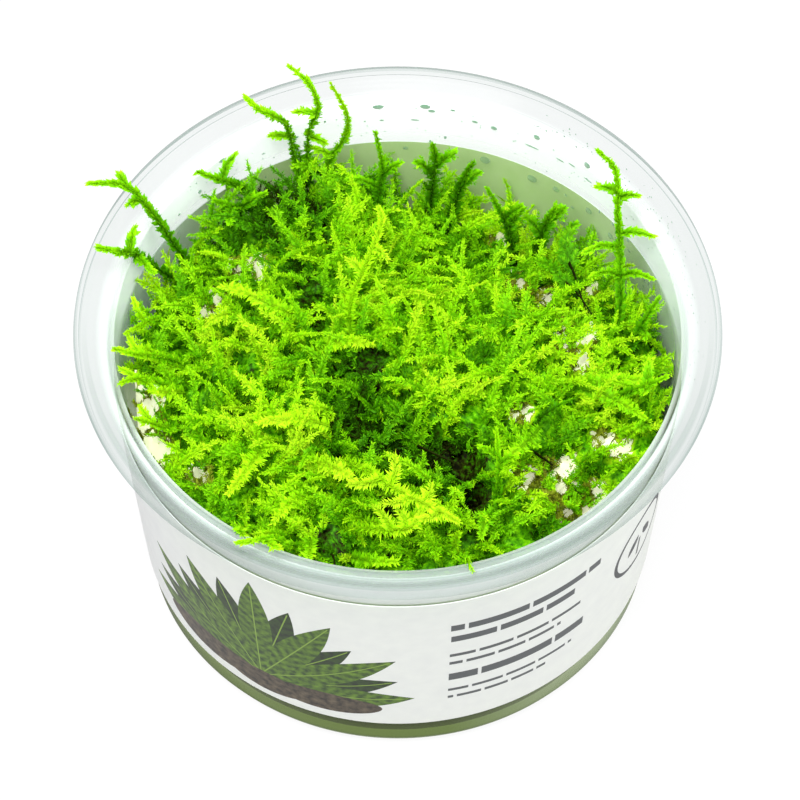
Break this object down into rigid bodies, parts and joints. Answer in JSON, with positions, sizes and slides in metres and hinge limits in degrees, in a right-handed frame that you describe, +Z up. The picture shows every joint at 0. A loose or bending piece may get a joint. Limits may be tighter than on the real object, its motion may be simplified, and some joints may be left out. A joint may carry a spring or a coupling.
{
  "type": "tissue culture christmas moss in a cup",
  "caption": "Open round plastic culture cup with a wrap label, a gel base and a mound of leafy green aquarium moss.",
  "frame": {"origin": "centre of the cup's foot, on the surface that it stands on", "axes": "+Z up out of the cup's mouth, -Y towards the front of the label, +X to the right seen from the front"},
  "size_m": [0.1006, 0.1006, 0.0765],
  "materials": {
    "clear_plastic": "clear moulded polypropylene, slightly hazy, smooth",
    "label_film": "satin white printed film",
    "nutrient_gel": "clear pale green agar gel, wet",
    "moss_leaf": "thin translucent saturated green leaves, slightly wet",
    "young_moss_leaf": "thin translucent yellow-green leaves at the growing tips"
  },
  "bodies": {
    "root": {"cup": "clear_plastic", "label": "label_film", "gel": "nutrient_gel", "moss_mat": "moss_leaf", "shoot_left_far": "moss_leaf", "shoot_left_upper": "moss_leaf", "shoot_left_back_low": "moss_leaf", "shoot_left_back_inner": "moss_leaf", "shoot_back_bent": "moss_leaf", "shoot_back_tall": "moss_leaf", "shoot_back_slim": "moss_leaf", "shoot_back_middle": "moss_leaf", "shoot_back_broad": "moss_leaf", "shoot_back_leaning": "moss_leaf", "shoot_right_back_thin": "moss_leaf", "shoot_right_back_leafy": "moss_leaf", "shoot_right_tall": "moss_leaf", "shoot_left_top": "moss_leaf", "shoot_left_middle": "moss_leaf", "shoot_left_low": "moss_leaf", "shoot_left_front": "moss_leaf", "shoot_crest_upright": "young_moss_leaf", "shoot_crest_long": "young_moss_leaf", "shoot_front_forked": "young_moss_leaf", "shoot_front_edge": "young_moss_leaf", "shoot_right_front": "moss_leaf", "shoot_right_edge": "moss_leaf", "shoot_right_reach": "moss_leaf"}
  },
  "joints": []
}
